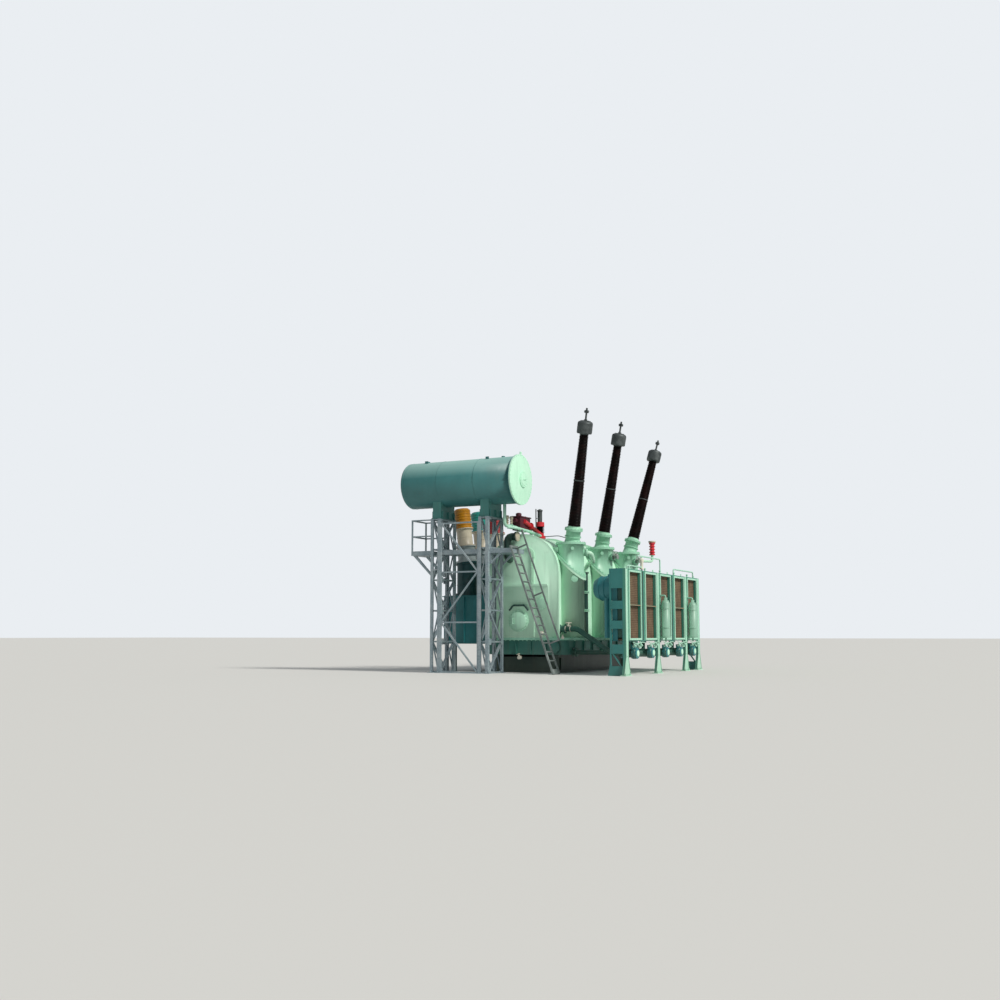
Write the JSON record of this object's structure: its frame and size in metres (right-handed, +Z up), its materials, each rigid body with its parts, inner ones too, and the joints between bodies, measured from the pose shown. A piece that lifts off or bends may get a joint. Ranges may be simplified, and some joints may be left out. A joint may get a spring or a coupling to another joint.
{
  "type": "power transformer",
  "caption": "Oil-filled power transformer: bell tank with leaning high-voltage bushings, conservator on lattice towers and a bank of forced-oil coolers.",
  "frame": {"origin": "centre of the skid's middle tie, on the ground under the tank", "axes": "+X along the tank away from the conservator end, -Y towards the high-voltage bushings and coolers, +Z up"},
  "size_m": [9.2316, 8.5126, 8.8691],
  "materials": {
    "green_enamel": "satin",
    "dark_green_enamel": "satin",
    "galvanised_steel": "matt, weathered zinc",
    "brown_porcelain": "gloss",
    "cast_aluminium": "matt",
    "finned_tube": "matt",
    "yellow_enamel": "satin",
    "phase_green_enamel": "satin",
    "red_enamel": "satin"
  },
  "bodies": {
    "root": {"bank_end_far": "green_enamel", "bank_end_near": "green_enamel", "bank_frame": "green_enamel", "bell_flange": "green_enamel", "conservator_end_near": "green_enamel", "conservator_hatch": "green_enamel", "conservator_shell": "green_enamel", "cooler_casing_1": "green_enamel", "cooler_casing_2": "green_enamel", "cooler_casing_3": "green_enamel", "cooler_casing_4": "green_enamel", "cooler_casing_5": "green_enamel", "cooler_core_1": "finned_tube", "cooler_core_2": "finned_tube", "cooler_core_3": "finned_tube", "cooler_core_4": "finned_tube", "cooler_core_5": "finned_tube", "deck_handrail": "galvanised_steel", "deck_left": "galvanised_steel", "deck_middle": "galvanised_steel", "deck_right": "galvanised_steel", "filter_1": "green_enamel", "filter_2": "green_enamel", "hv_cap_1": "cast_aluminium", "hv_cap_2": "cast_aluminium", "hv_cap_3": "cast_aluminium", "hv_porcelain_1": "brown_porcelain", "hv_porcelain_2": "brown_porcelain", "hv_porcelain_3": "brown_porcelain", "hv_turret_lower_1": "green_enamel", "hv_turret_lower_2": "green_enamel", "hv_turret_lower_3": "green_enamel", "hv_turret_upper_1": "green_enamel", "hv_turret_upper_2": "green_enamel", "hv_turret_upper_3": "green_enamel", "ladder": "galvanised_steel", "ladder_handrail": "galvanised_steel", "lower_tank": "dark_green_enamel", "lv_bushing_1": "yellow_enamel", "lv_bushing_2": "phase_green_enamel", "lv_bushing_3": "red_enamel", "lv_side_box": "dark_green_enamel", "lv_turret_1": "dark_green_enamel", "lv_turret_2": "dark_green_enamel", "lv_turret_3": "dark_green_enamel", "main_tank": "green_enamel", "manhole_cover": "green_enamel", "neutral_bushing": "red_enamel", "neutral_bushing_far": "red_enamel", "oil_header": "dark_green_enamel", "oil_pipe_lower": "dark_green_enamel", "oil_pipe_top": "green_enamel", "oil_pipe_upper": "dark_green_enamel", "relief_vent": "dark_green_enamel", "saddle_left": "dark_green_enamel", "saddle_right": "dark_green_enamel", "skid": "dark_green_enamel", "tower_bracing": "galvanised_steel", "tower_left": "galvanised_steel", "tower_right": "galvanised_steel"}
  },
  "joints": []
}
